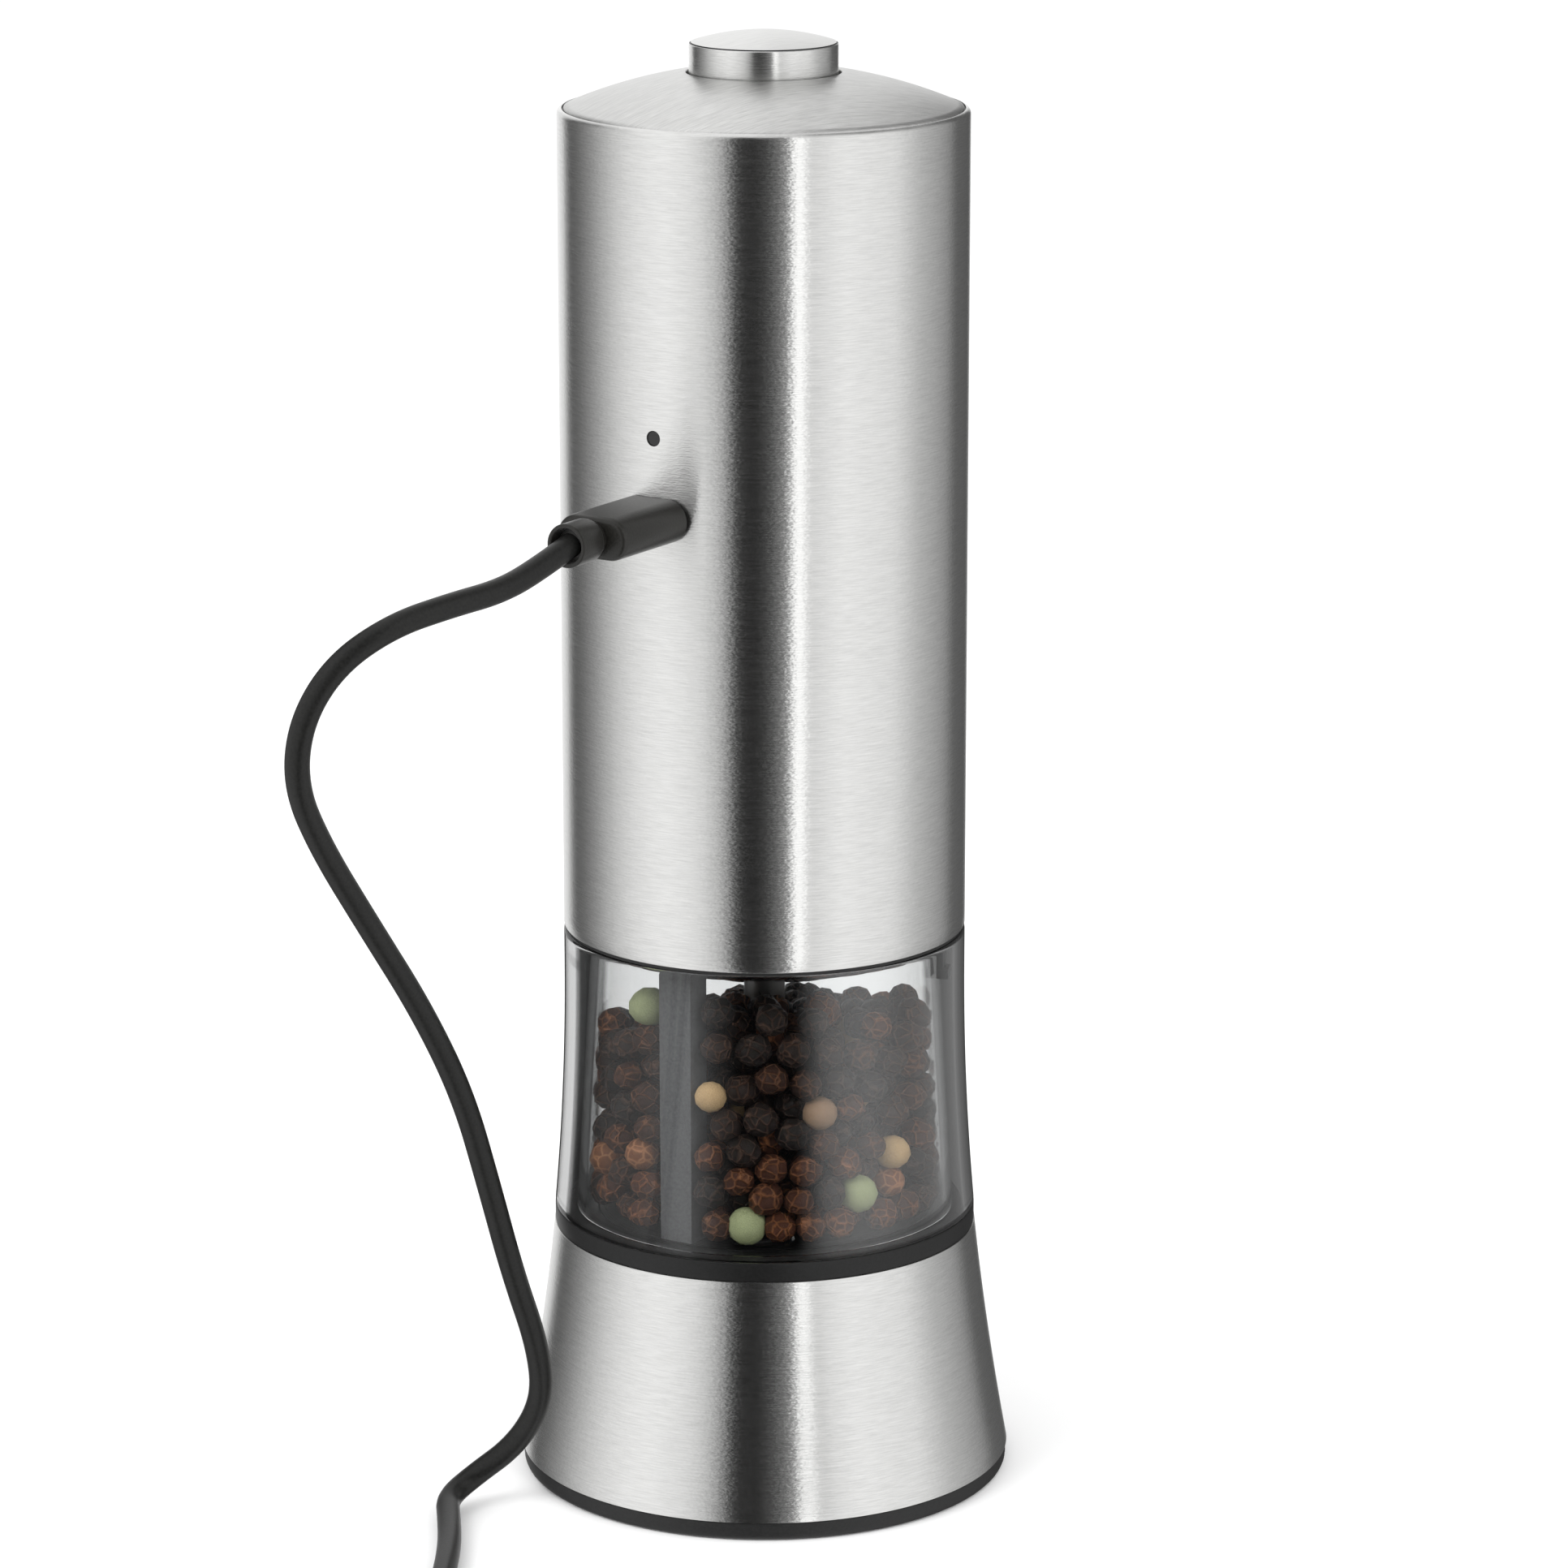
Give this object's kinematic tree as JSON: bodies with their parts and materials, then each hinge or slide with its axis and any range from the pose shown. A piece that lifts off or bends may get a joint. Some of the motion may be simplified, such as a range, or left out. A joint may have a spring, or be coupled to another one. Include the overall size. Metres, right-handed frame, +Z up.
{
  "type": "electric pepper mill",
  "caption": "Rechargeable pepper mill: brushed steel motor head with a push button on a clear flared hopper and a burr base, with a charging lead plugged in.",
  "frame": {"origin": "centre of the foot ring on the table", "axes": "+Z up along the mill's axis, -Y out of the charging port"},
  "size_m": [0.1397, 0.146, 0.2107],
  "materials": {
    "brushed_steel": "circumferential brushing, satin",
    "clear_acrylic": "clear, polished",
    "black_plastic": "fine matt moulding",
    "grey_plastic": "matt moulding",
    "gear_nylon": "plain moulding",
    "black_rubber": "matt",
    "cord_rubber": "fine grain, satin",
    "burr_ceramic": "white sintered ceramic",
    "plain_steel": "plain",
    "bush_brass": "turned",
    "motor_steel": "plated, satin",
    "cell_wrap": "plastic wrapped",
    "board_green": "solder resist",
    "lamp_plastic": "dark tinted",
    "peppercorn": "dry, wrinkled"
  },
  "bodies": {
    "base": {"base_skirt": "brushed_steel", "foot_ring": "black_rubber", "burr_carrier": "black_plastic", "stator_burr": "burr_ceramic", "burr_clamp": "black_plastic", "clamp_screws": "plain_steel", "shaft_bridge": "black_plastic", "shaft_bush": "bush_brass", "hopper_collar": "black_plastic", "hopper_shell": "clear_acrylic", "hopper_liner": "clear_acrylic", "light_conduit": "grey_plastic", "base_lamp": "board_green", "pepper_heap": "peppercorn"},
    "seal": {"seal_ring": "black_rubber"},
    "head": {"head_sleeve": "brushed_steel", "head_plate": "black_plastic", "head_screws": "plain_steel", "gearbox_case": "grey_plastic", "gearbox_lid": "grey_plastic", "motor_can": "motor_steel", "motor_cap": "black_plastic", "motor_screws": "plain_steel", "inner_frame": "black_plastic", "battery_cell": "cell_wrap", "battery_tabs": "plain_steel", "charge_board": "board_green", "port_shell": "plain_steel", "port_tongue": "black_plastic", "charge_lamp": "lamp_plastic", "button_guide": "black_plastic", "switch_body": "black_plastic"},
    "button": {"button_cap": "brushed_steel", "button_plunger": "black_plastic", "button_spring": "plain_steel"},
    "carrier": {"planet_carrier": "gear_nylon"},
    "planet_1": {"planet_gear_1": "gear_nylon"},
    "planet_2": {"planet_gear_2": "gear_nylon"},
    "planet_3": {"planet_gear_3": "gear_nylon"},
    "motor_rotor": {"sun_gear": "plain_steel", "motor_shaft": "plain_steel"},
    "drive": {"drive_shaft": "plain_steel", "rotor_burr": "burr_ceramic", "burr_spring": "plain_steel"},
    "adjuster": {"adjust_knob": "black_plastic"},
    "cable": {"plug_nose": "plain_steel", "plug_grip": "cord_rubber", "plug_relief": "cord_rubber", "cord_lead": "cord_rubber", "cord_coil": "cord_rubber", "cord_tail": "cord_rubber", "coil_tie": "cord_rubber", "outlet_grip": "cord_rubber", "outlet_shell": "plain_steel"}
  },
  "joints": [
    {"name": "head_twist", "type": "hinge", "parent": "base", "child": "seal", "pos_m": [0, 0, 0.0822], "axis": [0, 0, 1], "range_deg": [0, 30]},
    {"name": "head_lift", "type": "slide", "parent": "seal", "child": "head", "axis": [0, 0, 1], "range_m": [0, 0.06]},
    {"name": "button_press", "type": "slide", "parent": "head", "child": "button", "axis": [0, 0, -1], "range_m": [0, 0.002], "stiffness_N_per_m": 1500, "springref_m": -0.0006, "deforming": ["button_spring"]},
    {"name": "plug_pull", "type": "slide", "parent": "head", "child": "cable", "axis": [0, -1, 0], "range_m": [0, 0.012]},
    {"name": "drive_spin", "type": "hinge", "parent": "seal", "child": "drive", "pos_m": [0, 0, 0.05], "axis": [0, 0, 1], "continuous": true},
    {"name": "grind_adjust", "type": "hinge", "parent": "drive", "child": "adjuster", "pos_m": [0, 0, 0.005], "axis": [0, 0, 1], "range_deg": [-180, 180]},
    {"name": "carrier_spin", "type": "hinge", "parent": "head", "child": "carrier", "pos_m": [0, 0, 0.09], "axis": [0, 0, 1], "continuous": true},
    {"name": "sun_spin", "type": "hinge", "parent": "head", "child": "motor_rotor", "pos_m": [0, 0, 0.096], "axis": [0, 0, 1], "continuous": true},
    {"name": "planet_1_spin", "type": "hinge", "parent": "carrier", "child": "planet_1", "pos_m": [0.00945, 0, 0.096], "axis": [0, 0, 1], "continuous": true},
    {"name": "planet_2_spin", "type": "hinge", "parent": "carrier", "child": "planet_2", "pos_m": [-0.00473, 0.00818, 0.096], "axis": [0, 0, 1], "continuous": true},
    {"name": "planet_3_spin", "type": "hinge", "parent": "carrier", "child": "planet_3", "pos_m": [-0.00473, -0.00818, 0.096], "axis": [0, 0, 1], "continuous": true}
  ],
  "couplings": [
    {"joint": "carrier_spin", "follows": "drive_spin", "ratio": 1},
    {"joint": "sun_spin", "follows": "drive_spin", "ratio": 4.5},
    {"joint": "planet_1_spin", "follows": "drive_spin", "ratio": -2.8},
    {"joint": "planet_2_spin", "follows": "drive_spin", "ratio": -2.8},
    {"joint": "planet_3_spin", "follows": "drive_spin", "ratio": -2.8}
  ]
}
